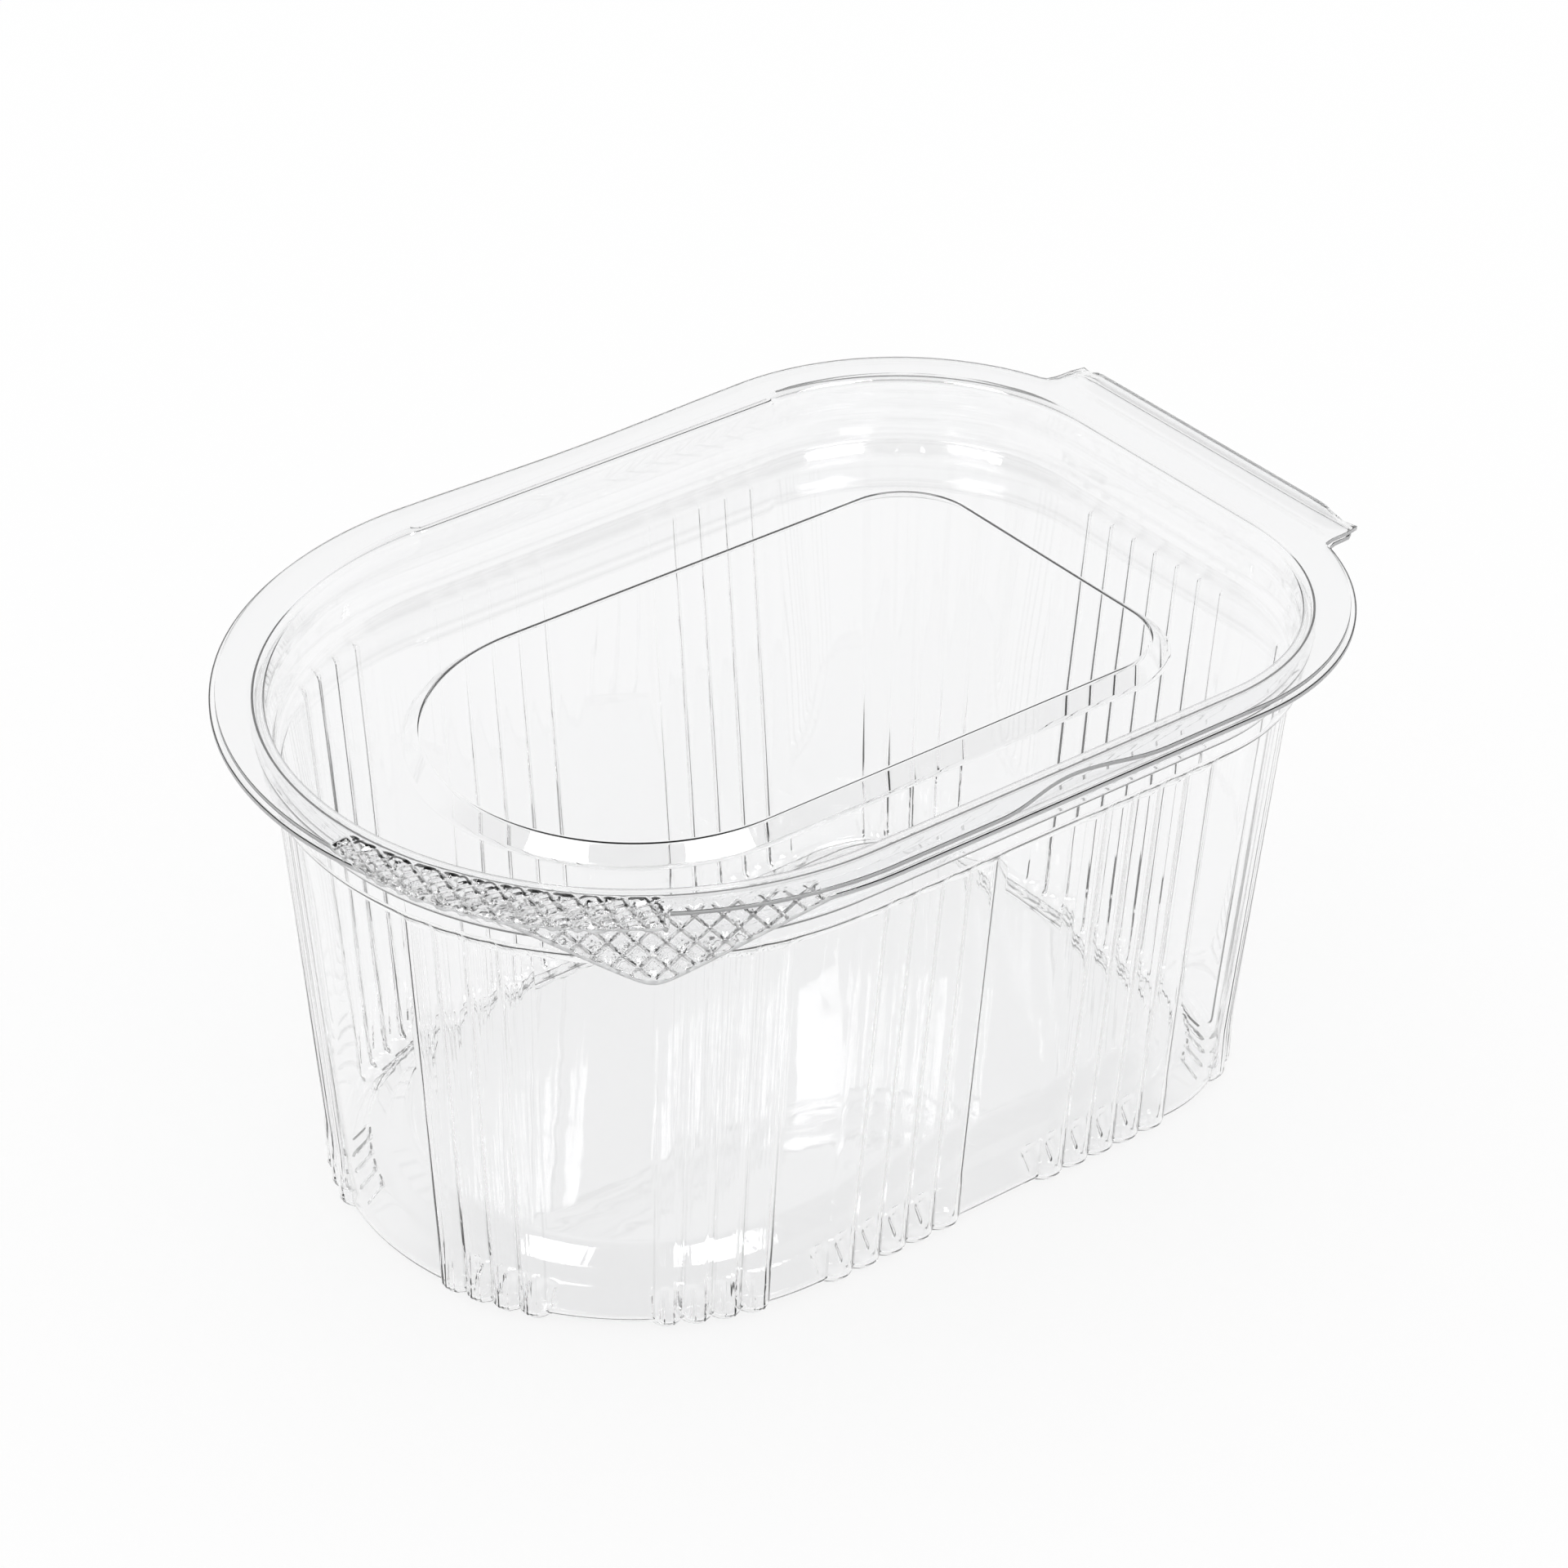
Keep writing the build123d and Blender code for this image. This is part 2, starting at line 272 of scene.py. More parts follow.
def finish_sheet(bm, name, flat_height, wall_side):
    """Turn a sheet into an object in metres; its wall lies below the drawn face (-1) or above it (1)."""
    bmesh.ops.recalc_face_normals(bm, faces=bm.faces)
    flat = min(bm.faces, key=lambda face: abs(face.calc_center_median().z - flat_height) - face.calc_area())
    if flat.normal.z < 0:
        bmesh.ops.reverse_faces(bm, faces=bm.faces)
    for face in bm.faces:
        face.smooth = True
    for edge in bm.edges:
        if len(edge.link_faces) == 2:
            edge.smooth = edge.calc_face_angle() < radians(crease_angle)
    bmesh.ops.scale(bm, vec=(mm, mm, mm), verts=bm.verts)
    mesh = bpy.data.meshes.new(name)
    bm.to_mesh(mesh)
    bm.free()
    piece = add_object(name, mesh)
    wall = piece.modifiers.new("wall", "SOLIDIFY")
    wall.thickness = sheet * mm
    wall.offset = wall_side
    wall.use_even_offset = True
    wall.use_quality_normals = True
    wall.material_offset_rim = 1
    print(name, "has", len(mesh.polygons), "faces before its wall")
    return piece


# %% [markdown]
# ## The edges of the two flanges
# Both flanges are die-cut along the plan, with a shallow waist on the left side. The lid has a finger
# notch on the right. At the rear both run out to the fold of the hinge, with eased corners. Booleans
# could cut all this out of a plate, but a formula for the edge's width keeps the rings of the flange
# even, and that shades better.

# %% Bays and the hinge strip
waist_half, waist_depth = 30.0, 0.7
notch_half, notch_depth = 12.7, 2.3
hinge_half = 26.0
hinge_ease, hinge_corner = 2.4, 1.6
slack = 0.01


def bay(distance, half, depth):
    """Depth of a shallow bay in a straight side, at a distance from its middle, with eased ends."""
    return depth * (1 + cos(pi * min(1, abs(distance) / half))) / 2


def eased(first, second, run):
    """How much a corner between two lines is filled or cut where they are less than a run apart."""
    return max(0, run - abs(first - second)) ** 2 / (4 * run)


def hinge_reach(point, width, out):
    """Width at the rear, where the hinge strip runs out beyond the rim."""
    side = abs(point.x) - corner_x
    reach = rim_width + out
    if point.y <= side_y:
        return width
    if side < slack:
        return reach
    turn = Vector((0, 1)).angle(Vector((side, point.y - side_y)))
    along = (reach - corner_x) / cos(turn)
    across = (hinge_half - corner_x) / sin(turn)
    strip = corner_x + min(along, across) - eased(along, across, hinge_corner)
    return max(width, strip) + eased(width, strip, hinge_ease)


print("the hinge strip is", 2 * hinge_half, "mm wide and ends", hinge_out, "mm beyond the rim")

# %% [markdown]
# ## The opening tabs
# At the front right corner each flange has a tab for a finger. The lid's is a flat bow with its right end
# cut off, bent up a little, and the tub's is a pointed ear, bent down. The bow is a parabola of the
# angle, and the ear two straight flanks with a blunt tip. Each tab bends about the chord of its arc, as a
# flat sheet does.

# %% Edges of the lid and the tub
tab_half_span = 24.0
lid_tab_angle, lid_tab_rise = 33.0, 7.0
lid_tab_width, lid_tab_slant, lid_tab_bow = 54.2, 0.06875, 0.005642
tub_tab_angle, tub_tab_drop = 55.0, 11.0
tub_tab_width, tub_tab_flank, tub_tab_tip = 59.0, 0.6549, 0.0258
lid_overlap = 0.2
fold_gap = 0.5


def lid_edge(point):
    """Width of the lid's flange edge."""
    middle = point.y - front_y - straight / 2
    if point.y > side_y:
        return hinge_reach(point, lid_flange_width, hinge_out + lid_overlap)
    if point.y > front_y:
        if point.x < 0:
            return lid_flange_width - bay(middle, waist_half, waist_depth)
        return lid_flange_width - bay(middle, notch_half, notch_depth)
    turn = front_angle(point) - lid_tab_angle
    if abs(turn) > tab_half_span + slack:
        return lid_flange_width
    return lid_tab_width + lid_tab_slant * turn - lid_tab_bow * turn**2


def tub_edge(point):
    """Width of the tub's flange edge."""
    middle = point.y - front_y - straight / 2
    if point.y > side_y:
        return hinge_reach(point, flange_width, hinge_out - fold_gap)
    if point.y > front_y:
        return flange_width - (bay(middle, waist_half, waist_depth) if point.x < 0 else 0)
    turn = radians(front_angle(point) - tub_tab_angle)
    if abs(turn) > radians(tab_half_span):
        return flange_width
    return max(flange_width, tub_tab_width / (cos(turn) + tub_tab_flank * hypot(sin(turn), tub_tab_tip)))


print("the lid's tab stands out", round(lid_tab_width - lid_flange_width, 1), "mm from its flange")

# %% Helpers that bend a tab and draw a flange
def bend(point, width, angle, tilt):
    """Rise of a tab that is bent about the chord of its arc."""
    if point.y > front_y:
        return 0
    turn = radians(front_angle(point) - angle)
    if abs(turn) > radians(tab_half_span):
        return 0
    reach = outward(point)[1] * cos(turn) - width * cos(radians(tab_half_span))
    return max(0, reach) * tan(radians(tilt))


def draw_flange(bm, inner, rings, edge, height):
    """Draw the rings of a flange, from an inner width to its edge, at the height of each place."""
    for step in range(1, rings + 1):
        share = step / rings

        def ring_width(point):
            """Width of this ring, between the inner width and the edge."""
            return inner + share * (edge(point) - inner)

        def ring_height(point):
            """Height of the place that a vertex moves to."""
            direction, now = outward(point)
            return height(point + direction * (ring_width(point) - now))

        add_ring(bm, ring_width, ring_height)
    print("a flange of", rings, "rings starts at a width of", round(inner, 2))


# %% [markdown]
# ## The tub's floor and foot
# The tub is drawn on the outer face of its sheet, from the middle of the floor outwards. The floor is
# pushed up in two steps, so that the tub stands on a narrow ring and doesn't rock. The ribs of the wall
# turn under the foot and end as strips on the floor's slope, so the rings there take the ribs along, sunk
# instead of proud.

# %% Draw the floor and the foot
floor_border, floor_width, floor_foot, strip_end, floor_edge = 1.0, 28.4, 30.6, 32.9, 35.2
floor_height, step_height, step_fall = 5.2, 2.7, 0.4
strip_run, strip_drop, strip_sunk, land_sunk = 0.8, 0.95, 0.9, 1
foot_width, heel_width, heel_height = 36.4, 37.4, 1.0
tub_front_step = 0.7
front_groups, side_group_inset, corner_middle = (115.5, 157.0), 10.7, 45
round_group_count, side_group_count, rear_group_count = 4, 5, 7

right_ribs = []
for middle in front_groups:
    right_ribs += group(middle, round_group_count, rib_pitch * front_unit)
left_ribs = [180 - angle for angle in reversed(right_ribs)]
side_ribs = []
for middle in (side_group_inset, straight - side_group_inset):
    side_ribs += group(middle, side_group_count, rib_pitch)

tub_sheet = start_sheet(
    floor_width - floor_border, floor_height, tub_front_step,
    front_ribs=left_ribs + right_ribs,
    side_ribs=side_ribs,
    corner_ribs=group(corner_middle, round_group_count, rib_pitch * corner_unit),
    rear_ribs=group(corner_x, rear_group_count, rib_pitch),
)
floor_top = add_ring(tub_sheet, floor_width, floor_height)
floor_ring = add_ring(tub_sheet, floor_foot, step_height + step_fall)
step_edge = add_ring(tub_sheet, strip_end, step_height)
add_ring(tub_sheet, strip_end + strip_run, step_height - strip_drop, proud=-strip_sunk)
land_edge = add_ring(tub_sheet, floor_edge, 0, proud=-land_sunk)
foot = add_ring(tub_sheet, foot_width, 0, proud=rib_proud)
heel = add_ring(tub_sheet, heel_width, heel_height, proud=rib_proud)
print("the foot is", round(foot_width - floor_edge, 1), "mm wide, and the floor", floor_height, "mm up")

# %% [markdown]
# ## The tub's wall and ledge
# The wall leans out towards the top, so that empty tubs nest. Its ribs are strongest at the heel and
# flatter further up, as the photo shows them. A grid with many rows could follow that too, but the wall
# is straight between a few rings, so those are enough. Above the ribs it steps out to the ledge.

# %% Draw the wall and the ledge
ledge_width, ledge_height, ledge_rise = 44.2, 58.0, 1.6
heel_flare, ledge_tuck = 0.6, 0.15
wall_low, wall_high = heel_width + heel_flare, wall_width - ledge_tuck
rib_start, rib_end = 8.0, ledge_height - ledge_rise
relief_by_share = ((0, 0.55), (0.5, 0.46), (1, 0.4))

for share, relief in relief_by_share:
    wall_top = add_ring(
        tub_sheet,
        wall_low + share * (wall_high - wall_low),
        rib_start + share * (rib_end - rib_start),
        proud=relief * rib_proud,
    )
ledge = add_ring(tub_sheet, ledge_width, ledge_height)
print("the ribs stand out", rib_proud, "mm at the heel and", round(relief * rib_proud, 2), "mm at the top")

# %% [markdown]
# ## The tub's collar
# Above the ledge a collar takes the lid's plug. A bead is pressed outwards round it, and the plug's own
# bead snaps into its hollow side. A torus joined to the wall would leave a seam, so the bead is three
# rings of the sheet, and the middle one is rounded later.

# %% Draw the collar and its snap bead
bead_start, bead_height, bead_end, bead_depth = 60.9, 62.7, 64.5, 0.5
plug_gap = 0.4
neck_width = rim_width + sheet + plug_gap
tub_under = tub_height - sheet


def tub_collar(height):
    """Width of the collar's outer face at a height."""
    share = (height - ledge_height) / (tub_height - ledge_height)
    return ledge_width + share * (neck_width + sheet - ledge_width)


add_ring(tub_sheet, tub_collar(bead_start), bead_start)
bead_crest = add_ring(tub_sheet, tub_collar(bead_height) + bead_depth, bead_height)
add_ring(tub_sheet, tub_collar(bead_end), bead_end)
collar_top = add_ring(tub_sheet, tub_collar(tub_under), tub_under)
print("tub has", len(tub_sheet.verts), "vertices up to its collar")

# %% [markdown]
# ## Grip texture of the tabs
# Both tabs are pressed into a field of small diamonds, so that fingers find a hold. A bump in the
# material would do from afar, but clear plastic shows every slope, so the diamonds are real relief: two
# sets of slanting grooves cross each other, and the height of a point follows the nearer groove.

# %% Relief of the grip
grip_across, grip_out = 3.25, 3.8
grip_height = 0.45
groove_share = 0.45
inner_fade, edge_fade = 0.8, 0.5


def fold(value):
    """Height of a zigzag of pitch 1, from 0 to 1."""
    return 1 - abs(2 * (value % 1) - 1)


def grip(point, width, angle, edge, sunk):
    """Relief of a tab at a point, fading out at its border; sunk by its whole height (1) or not (0)."""
    if point.y > front_y:
        return 0
    turn = radians(front_angle(point) - angle)
    reach = outward(point)[1]
    inside = min(1, max(0, (reach - width) / inner_fade), max(0, (edge - reach) / edge_fade))
    ends = min(1, max(0, (radians(tab_half_span) - abs(turn)) * reach / inner_fade))
    across = reach * sin(turn) / grip_across
    out = reach * cos(turn) / grip_out
    flank = min(1, fold(across + out) / groove_share, fold(across - out) / groove_share)
    return grip_height * inside * ends * (flank * flank * (3 - 2 * flank) - sunk)


print("diamonds of", grip_across, "by", grip_out, "mm,", grip_height, "mm high")

# %% Helpers that press the grip
field_depth, field_margin, field_turn = 3, 0.5, 1


def tab_field(bm, width, angle, height):
    """Vertices of a tab, from a width outwards."""
    return {
        vert for vert in bm.verts
        if vert.co.y < front_y and abs(vert.co.z - height) < field_depth
        and outward(vert.co)[1] > width - field_margin
        and abs(front_angle(vert.co) - angle) < tab_half_span + field_turn
    }


def split_rings(bm, field):
    """Put one more ring between the rings of a tab."""
    ring = bm.verts.layers.int["ring"]
    spokes = [
        line for line in bm.edges
        if all(vert in field for vert in line.verts) and line.verts[0][ring] != line.verts[1][ring]
    ]
    bmesh.ops.subdivide_edges(bm, edges=spokes, cuts=1, use_grid_fill=True)


def press_grip(bm, width, angle, edge, height, sunk):
    """Make the mesh of a tab finer, and press its grip texture."""
    field = tab_field(bm, width, angle, height)
    lines = [line for line in bm.edges if all(vert in field for vert in line.verts)]
    bmesh.ops.subdivide_edges(bm, edges=lines, cuts=1, use_grid_fill=True)
    field = tab_field(bm, width, angle, height)
    for vert in field:
        vert.co.z += grip(vert.co, width, angle, edge(vert.co), sunk)
    print("grip field of", len(field), "vertices")


# %% [markdown]
# ## The tub's flange
# The flange is flat but for its tab, which bends down. It is drawn in even rings, and then the rings that
# are bends of the real sheet are rounded. Rounding comes last, because a bevel adds vertices between the
# rings. The tub's grip is sunk, so that it stays clear of the lid's tab above it.

# %% Draw the tub's flange
collar_round = 1.0
tub_flange_rings = 11
tub_grip_width = 46.5


def tub_flange_height(point):
    """Height of the flange's lower face, with the bent tab."""
    return tub_under - bend(point, flange_width, tub_tab_angle, tub_tab_drop)


flange_start = tub_collar(tub_under) + collar_round
add_ring(tub_sheet, flange_start, tub_under)
draw_flange(tub_sheet, flange_start, tub_flange_rings, tub_edge, tub_flange_height)

# %% Round the tub's bends and press its grip
tub_rounds = (
    (floor_top, 0.4), (floor_ring, 0.4), (step_edge, 0.4), (land_edge, 0.3), (foot, 0.4), (heel, 0.4),
    (wall_top, 0.5), (ledge, 0.5), (bead_crest, 0.35), (collar_top, 0.5),
)
for number, radius in tub_rounds:
    round_ring(tub_sheet, number, radius, segments=2)
split_rings(tub_sheet, tab_field(tub_sheet, tub_grip_width, tub_tab_angle, tub_under))
press_grip(tub_sheet, tub_grip_width, tub_tab_angle, tub_edge, tub_under, sunk=1)
tub = finish_sheet(tub_sheet, "tub_shell", floor_height, wall_side=1)

# %% [markdown]
# ## The lid's dish
# The lid is drawn on its upper face, because that is the face one sees: the raised island, the recessed
# ring round it, and the plug wall with its snap bead. Along the left side the rim reaches further in, so
# that it snaps harder there.

# %% Draw the island, the ring and the plug
island_top_width, island_foot_width, plug_foot_width = 25.6, 27.7, 42.3
island_height, dish_height, plug_top = 61.15, 59.2, 66.4
snap_depth, snap_half = 0.7, 28.5
lid_front_step = 0.5


def plug_wall(height):
    """Width of the plug wall's inner face at a height."""
    share = (height - dish_height) / (plug_top - dish_height)
    return plug_foot_width + share * (rim_width - plug_foot_width)


def snap_rim(point):
    """Width of the rim, which reaches further in along the left side to snap."""
    middle = abs(point.y - front_y - straight / 2)
    return rim_width - (snap_depth * min(1, max(0, snap_half - middle)) if point.x < 0 else 0)


lid_sheet = start_sheet(island_top_width, island_height, lid_front_step)
island_edge = 0
island_foot = add_ring(lid_sheet, island_foot_width, dish_height)
plug_foot = add_ring(lid_sheet, plug_foot_width, dish_height)
plug_low = add_ring(lid_sheet, plug_wall(bead_start), bead_start)
plug_bead = add_ring(lid_sheet, plug_wall(bead_height) + bead_depth, bead_height)
plug_high = add_ring(lid_sheet, plug_wall(bead_end), bead_end)
rim = add_ring(lid_sheet, snap_rim, lid_top)
print("the lid's dish is", round(lid_top - dish_height, 1), "mm deep")

# %% [markdown]
# ## The lid's flange and the crest of the hinge
# The lid's flange carries the bent-up tab in front. At the rear it rises into a round crest and drops to
# the fold, which gives the thin sheet a place to bend. The crest is a height added to the flange's rings,
# not a separate piece, because the real one is a wave of the same sheet. Weighted normals keep the broad
# flat faces free of shading from their narrow rounds.

# %% Draw the lid's flange
crease_out, crest_out, crest_rise, hinge_drop = 6.1, 8.4, 1.75, 0.5
crest_half, crest_fade = 25.5, 4.5
rim_land = 1.5
lid_flange_rings = 22
lid_grip_width = 46.0


def crest(point):
    """Rise of the hinge crest at a point of the lid's flange."""
    if point.y < rim_y:
        return 0
    out = point.y - rim_y
    ends = min(1, max(0, (crest_half - abs(point.x)) / crest_fade))
    if out < crest_out:
        climb = max(0, (out - crease_out) / (crest_out - crease_out))
        return ends * crest_rise * (1 - cos(pi * climb)) / 2
    fall = (out - crest_out) / (hinge_out - crest_out)
    return ends * (crest_rise - (crest_rise + hinge_drop) * (1 - cos(pi / 2 * fall)))


def lid_flange_height(point):
    """Height of the flange's upper face, with the bent tab and the hinge crest."""
    return lid_top + bend(point, lid_flange_width, lid_tab_angle, lid_tab_rise) + crest(point)


rim_end = rim_width + rim_land
add_ring(lid_sheet, rim_end, lid_top)
draw_flange(lid_sheet, rim_end, lid_flange_rings, lid_edge, lid_flange_height)

# %% Round the lid's bends and press its grip
lid_rounds = (
    (island_edge, 0.3, 3), (island_foot, 0.3, 3), (plug_foot, 0.4, 3),
    (plug_low, 0.35, 2), (plug_bead, 0.35, 2), (plug_high, 0.35, 2), (rim, 1.2, 5),
)
for number, radius, segments in lid_rounds:
    round_ring(lid_sheet, number, radius, segments)
press_grip(lid_sheet, lid_grip_width, lid_tab_angle, lid_edge, lid_top, sunk=0)
lid = finish_sheet(lid_sheet, "lid_shell", island_height, wall_side=-1)
shading = lid.modifiers.new("shading", "WEIGHTED_NORMAL")
shading.keep_sharp = True

# %% [markdown]
# ## Clear plastic
# The sheet is colourless and glossy. Light goes through it and bends at each face, so the shader is
# glass-like transmission; plain transparency would lose the bright and dark lines at the bends. A formed
# sheet isn't perfectly even: the walls have faint streaks along the draw, and the lid a slight ripple. A
# bump from one stretched noise gives both.

# %% Make the plastic
plastic_ior = 1.57
plastic_colour = (0.983, 0.984, 0.986, 1)
streak_depth = 0.2 * mm
tub_streaks, tub_streak_strength = (200, 200, 12), 0.08
lid_ripple, lid_ripple_strength = (60, 60, 60), 0.03


def new_material(name):
    """A material with nodes, its node tree and its shader."""
    material = bpy.data.materials.new(name)
    material.use_nodes = True
    return material, material.node_tree, material.node_tree.nodes["Principled BSDF"]


def clear_plastic(name, streak_scale, strength):
    """Glossy clear sheet with slight streaks, on Object coordinates in metres."""
    material, tree, shader = new_material(name)
    shader.inputs["Base Color"].default_value = plastic_colour
    shader.inputs["Transmission Weight"].default_value = 1.0
    shader.inputs["Roughness"].default_value = 0.0
    shader.inputs["IOR"].default_value = plastic_ior
    place = tree.nodes.new("ShaderNodeTexCoord")
    spread = tree.nodes.new("ShaderNodeMapping")
    spread.inputs["Scale"].default_value = streak_scale
    streaks = tree.nodes.new("ShaderNodeTexNoise")
    streaks.inputs["Scale"].default_value = 1.0
    streaks.inputs["Detail"].default_value = 1.0
    bump = tree.nodes.new("ShaderNodeBump")
    bump.inputs["Strength"].default_value = strength
    bump.inputs["Distance"].default_value = streak_depth
    tree.links.new(place.outputs["Object"], spread.inputs["Vector"])
    tree.links.new(spread.outputs["Vector"], streaks.inputs["Vector"])
    tree.links.new(streaks.outputs["Fac"], bump.inputs["Height"])
    tree.links.new(bump.outputs["Normal"], shader.inputs["Normal"])
    return material


tub.data.materials.append(clear_plastic("tub_plastic", tub_streaks, tub_streak_strength))
lid.data.materials.append(clear_plastic("lid_plastic", lid_ripple, lid_ripple_strength))
print("finishes of the faces:", tub.data.materials[0].name, "and", lid.data.materials[0].name)

# %% [markdown]
# ## The cut edge
# Where the die cuts the sheet, the edge is left rough and frosted, and it shows as a pale line round the
# flange. A polished edge would turn nearly black here, because it mirrors the inside of the sheet. The
# frost is a fine noise that drives the roughness. It is the second material of both pieces, which their
# walls use on the rim.

# %% Make the cut edge
edge_colour = (0.86, 0.865, 0.87, 1)
edge_transmission = 0.5
grain_scale = 2500
frost_range = (0.4, 0.7)


def map_range(tree, value, old, new):
    """Turn one range of a value into another, held at its ends."""
    node = tree.nodes.new("ShaderNodeMapRange")
    names = ("From Min", "From Max", "To Min", "To Max")
    for name, number in zip(names, old + new):
        node.inputs[name].default_value = number
    tree.links.new(value, node.inputs["Value"])
    return node.outputs["Result"]


def cut_edge():
    """The edge where the die cut the sheet: frosted, with a fine grain."""
    material, tree, shader = new_material("cut_edge")
    shader.inputs["Base Color"].default_value = edge_colour
    shader.inputs["Transmission Weight"].default_value = edge_transmission
    shader.inputs["IOR"].default_value = plastic_ior
    place = tree.nodes.new("ShaderNodeTexCoord")
    grain = tree.nodes.new("ShaderNodeTexNoise")
    grain.inputs["Scale"].default_value = grain_scale
    tree.links.new(place.outputs["Object"], grain.inputs["Vector"])
    roughness = map_range(tree, grain.outputs["Fac"], (0, 1), frost_range)
    tree.links.new(roughness, shader.inputs["Roughness"])
    return material


frosted = cut_edge()
for piece in (tub, lid):
    piece.data.materials.append(frosted)
print("finish of the rims:", frosted.name, "with a grain of", round(1 / grain_scale / mm, 1), "mm")

# %% [markdown]
# ## Riding on the frame
# Each shell stands for its CAD solid and moves with the same body, so the lid opens with the hinge joint.
# Parenting by hand could do the same, but here an empty named for each body carries its shell, and the CAD
# solid is hidden.

# %% Tie the shells to the bodies
for piece, body in ((tub, "tub"), (lid, "lid")):
    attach(piece, body)
    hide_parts(body)
    print(piece.name, "rides on", body)

# %% [markdown]
# ## Camera
# The camera stands where the photographer stood: to the front right and above, far away with a long lens,
# and turned a little about its own axis. A constraint could aim it, but its three axes say exactly where
# it looks.

# %% Place the camera
view_azimuth, view_elevation, view_roll = 51.18, 32.91, 0.843
camera_place = Vector((435.07, -348.53, 405.11)) * mm
sensor_width, focal_length, clip_distance = 36.0, 124.875, 50


def towards(azimuth, elevation):
    """Direction from the tub to a place round it: degrees from the front to the right, and degrees up."""
    turn = radians(azimuth)
    lift = radians(elevation)
    return Vector((sin(turn) * cos(lift), -cos(turn) * cos(lift), sin(lift)))


camera_data = bpy.data.cameras.new("camera")
camera_data.sensor_width = sensor_width
camera_data.lens = focal_length
camera_data.clip_end = clip_distance
camera = add_object("camera", camera_data)
back = towards(view_azimuth, view_elevation)
across = towards(view_azimuth + 90, 0)
above = back.cross(across)
roll = radians(view_roll)
turned_across = across * cos(roll) + above * sin(roll)
turned_above = above * cos(roll) - across * sin(roll)
pose = Matrix((turned_across, turned_above, back)).transposed().to_4x4()
pose.translation = camera_place
camera.matrix_world = pose
bpy.context.scene.camera = camera
print("the camera is", round(camera_place.length, 2), "m away")

# %% [markdown]
# ## The floor
# Clear plastic shows what is round it, so the floor is part of its look. It is a sheet of white paper.
# Rays from the camera, from gloss and through the plastic see it glow evenly, as an overexposed studio
# floor does, and a small share of plain paper keeps the soft shadow. More light would bleach the tub as
# well.

# %% Helpers for the studio's nodes
def larger(tree, first, second):
    """The larger of two values."""
    node = tree.nodes.new("ShaderNodeMath")
    node.operation = "MAXIMUM"
    tree.links.new(first, node.inputs[0])
    tree.links.new(second, node.inputs[1])
    return node.outputs["Value"]


def mix_shaders(tree, share, first, second, output):
    """Send two shaders to an output, with a share of the second."""
    mix = tree.nodes.new("ShaderNodeMixShader")
    tree.links.new(share, mix.inputs["Fac"])
    tree.links.new(first, mix.inputs[1])
    tree.links.new(second, mix.inputs[2])
    tree.links.new(mix.outputs["Shader"], tree.nodes[output].inputs["Surface"])


# %% Make the floor
floor_half = 3.0
floor_drop = 0.4 * mm
paper_colour = (0.98, 0.98, 0.98, 1)
paper_roughness = 0.9
glow_share = 0.84


def white_paper():
    """Paper that glows for rays from the camera, from gloss and through the plastic."""
    material, tree, shader = new_material("white_paper")
    shader.inputs["Base Color"].default_value = paper_colour
    shader.inputs["Roughness"].default_value = paper_roughness
    shader.inputs["Specular IOR Level"].default_value = 0
    glow = tree.nodes.new("ShaderNodeEmission")
    glow.inputs["Strength"].default_value = 1.0
    rays = tree.nodes.new("ShaderNodeLightPath").outputs
    seen = larger(tree, rays["Is Camera Ray"], rays["Is Glossy Ray"])
    seen = larger(tree, seen, rays["Is Transmission Ray"])
    share = map_range(tree, seen, (0, 1), (0, glow_share))
    mix_shaders(tree, share, shader.outputs["BSDF"], glow.outputs["Emission"], "Material Output")
    return material


floor_bm = bmesh.new()
bmesh.ops.create_grid(floor_bm, x_segments=1, y_segments=1, size=floor_half)
bmesh.ops.translate(floor_bm, vec=(0, 0, -floor_drop), verts=floor_bm.verts)
floor_mesh = bpy.data.meshes.new("floor")
floor_bm.to_mesh(floor_mesh)
floor_bm.free()
floor = add_object("floor", floor_mesh)
floor.data.materials.append(white_paper())
print("the floor is", 2 * floor_half, "m wide")

# %% [markdown]
# ## The room
# In an all-white room clear plastic would vanish. So the walls are white, but the ceiling gets darker
# towards the lens, and the bends of the sheet mirror it as grey lines. A photographer does this with
# black cards. The room is the world's shader, because it needs no geometry. The camera and the paper see
# it plain white.

# %% Make the room
wall_grey = 0.95
ceiling_greys = (0.88, 0.18)
dark_elevation = 53.13
dark_border = (0.2, 0.5)
wall_border = (0.2, 0.5)

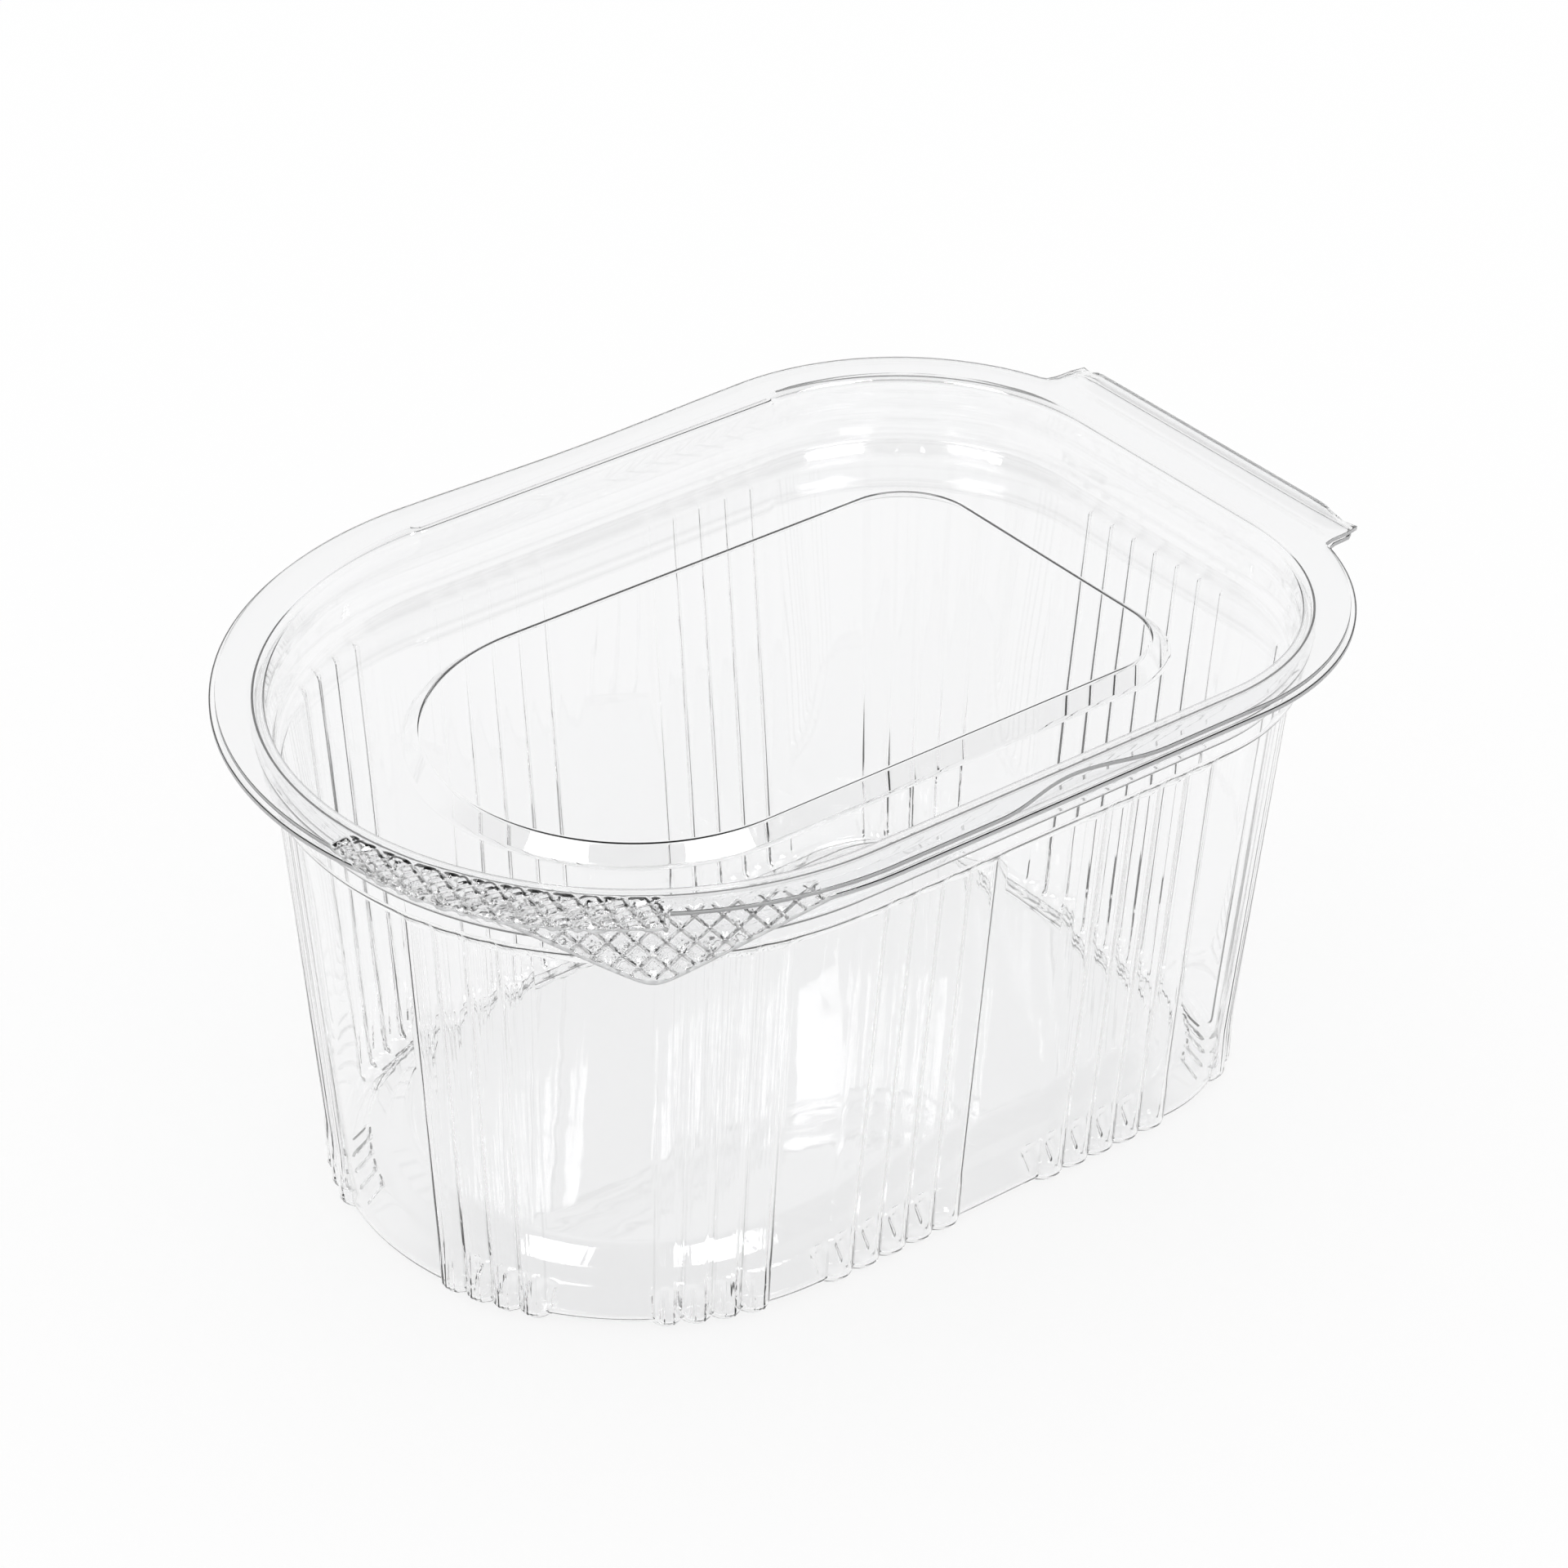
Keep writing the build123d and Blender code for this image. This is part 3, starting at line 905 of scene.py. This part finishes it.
world = bpy.context.scene.world or bpy.data.worlds.new("studio")
bpy.context.scene.world = world
world.use_nodes = True
world.cycles.sampling_method = "NONE"
tree = world.node_tree
sky = tree.nodes.new("ShaderNodeTexCoord")
near_dark = tree.nodes.new("ShaderNodeVectorMath")
near_dark.operation = "DOT_PRODUCT"
near_dark.inputs[1].default_value = towards(view_azimuth, dark_elevation)
upwards = tree.nodes.new("ShaderNodeSeparateXYZ")
tree.links.new(sky.outputs["Generated"], near_dark.inputs[0])
tree.links.new(sky.outputs["Generated"], upwards.inputs["Vector"])
room_grey = tree.nodes.new("ShaderNodeMix")
room_grey.inputs["A"].default_value = wall_grey
above_walls = map_range(tree, upwards.outputs["Z"], wall_border, (0, 1))
ceiling = map_range(tree, near_dark.outputs["Value"], dark_border, ceiling_greys)
tree.links.new(above_walls, room_grey.inputs["Factor"])
tree.links.new(ceiling, room_grey.inputs["B"])
room = tree.nodes["Background"]
tree.links.new(room_grey.outputs["Result"], room.inputs["Color"])
backdrop = tree.nodes.new("ShaderNodeBackground")
backdrop.inputs["Color"].default_value = (1, 1, 1, 1)
rays = tree.nodes.new("ShaderNodeLightPath").outputs
plain = larger(tree, rays["Is Camera Ray"], rays["Is Diffuse Ray"])
mix_shaders(tree, plain, room.outputs["Background"], backdrop.outputs["Background"], "World Output")
print("the room goes from", wall_grey, "at its walls to", ceiling_greys[1], "above the lens")

# %% [markdown]
# ## Soft boxes
# The photo shows paired white highlights on the island, the heel and the far rim: two square lamps above
# the front. Area lamps give them their shape. They don't light the paper, so that the floor stays even.

# %% Place the soft boxes
lamp_elevation, lamp_distance = 58, 1.2


def soft_box(name, azimuth, size, watts):
    """A square area lamp that faces the tub, seen in the plastic but not on the floor."""
    light = bpy.data.lights.new(name, "AREA")
    light.size = size
    light.energy = watts
    lamp = add_object(name, light)
    out = towards(azimuth, lamp_elevation)
    facing = out.to_track_quat("Z", "Y").to_matrix().to_4x4()
    lamp.matrix_world = Matrix.Translation(out * lamp_distance) @ facing
    lamp.visible_camera = False
    lamp.visible_diffuse = False
    print(name, "of", size, "m gives", watts, "W")


soft_box("left_soft_box", azimuth=2, size=0.4, watts=5.5)
soft_box("right_soft_box", azimuth=106, size=0.45, watts=7)

# %% [markdown]
# ## Light paths and output
# A ray passes many faces before it is out of the tub again. With the usual number of bounces it would end
# inside and leave black patches, so it gets more.

# %% Last settings and sizes
face_bounces, gloss_bounces = 20, 6

scene = bpy.context.scene
scene.view_settings.view_transform = "Standard"
scene.cycles.max_bounces = face_bounces
scene.cycles.transmission_bounces = face_bounces
scene.cycles.glossy_bounces = gloss_bounces
